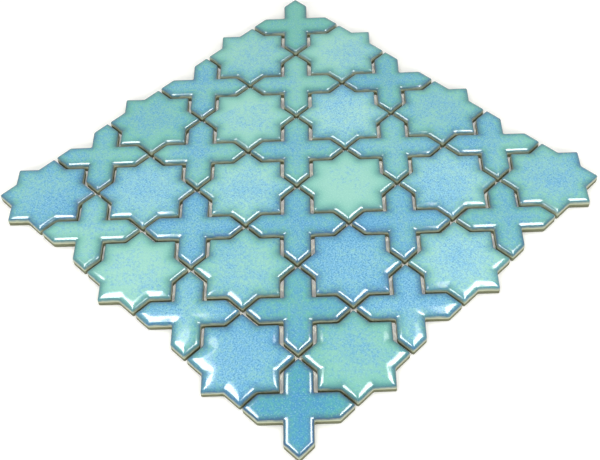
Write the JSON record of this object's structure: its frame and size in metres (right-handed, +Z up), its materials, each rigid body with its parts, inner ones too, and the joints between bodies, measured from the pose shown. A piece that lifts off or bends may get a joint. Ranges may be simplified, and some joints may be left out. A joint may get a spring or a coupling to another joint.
{
  "type": "ceramic mosaic tile sheet",
  "caption": "Square mosaic sheet of glazed star and cross tiles with rolled edges and open joints, bonded to a thin backing net, for tiling walls and floors.",
  "frame": {"origin": "middle of the sheet's underside, at the bottom of the backing net", "axes": "+X and +Y along the sheet's sides, +Z up out of the glazed face"},
  "size_m": [0.3176, 0.3176, 0.007],
  "materials": {
    "glazed_tile": "glossy mottled turquoise glaze over a buff fired body",
    "backing_net": "resin coated glass yarn"
  },
  "bodies": {
    "root": {"cross_tile_row1_col2": "glazed_tile", "cross_tile_row1_col4": "glazed_tile", "cross_tile_row1_col6": "glazed_tile", "cross_tile_row2_col1": "glazed_tile", "cross_tile_row2_col3": "glazed_tile", "cross_tile_row2_col5": "glazed_tile", "cross_tile_row3_col2": "glazed_tile", "cross_tile_row3_col4": "glazed_tile", "cross_tile_row3_col6": "glazed_tile", "cross_tile_row4_col1": "glazed_tile", "cross_tile_row4_col3": "glazed_tile", "cross_tile_row4_col5": "glazed_tile", "cross_tile_row5_col2": "glazed_tile", "cross_tile_row5_col4": "glazed_tile", "cross_tile_row5_col6": "glazed_tile", "cross_tile_row6_col1": "glazed_tile", "cross_tile_row6_col3": "glazed_tile", "cross_tile_row6_col5": "glazed_tile", "net_yarns_lower": "backing_net", "net_yarns_upper": "backing_net", "star_tile_row1_col1": "glazed_tile", "star_tile_row1_col3": "glazed_tile", "star_tile_row1_col5": "glazed_tile", "star_tile_row2_col2": "glazed_tile", "star_tile_row2_col4": "glazed_tile", "star_tile_row2_col6": "glazed_tile", "star_tile_row3_col1": "glazed_tile", "star_tile_row3_col3": "glazed_tile", "star_tile_row3_col5": "glazed_tile", "star_tile_row4_col2": "glazed_tile", "star_tile_row4_col4": "glazed_tile", "star_tile_row4_col6": "glazed_tile", "star_tile_row5_col1": "glazed_tile", "star_tile_row5_col3": "glazed_tile", "star_tile_row5_col5": "glazed_tile", "star_tile_row6_col2": "glazed_tile", "star_tile_row6_col4": "glazed_tile", "star_tile_row6_col6": "glazed_tile"}
  },
  "joints": []
}
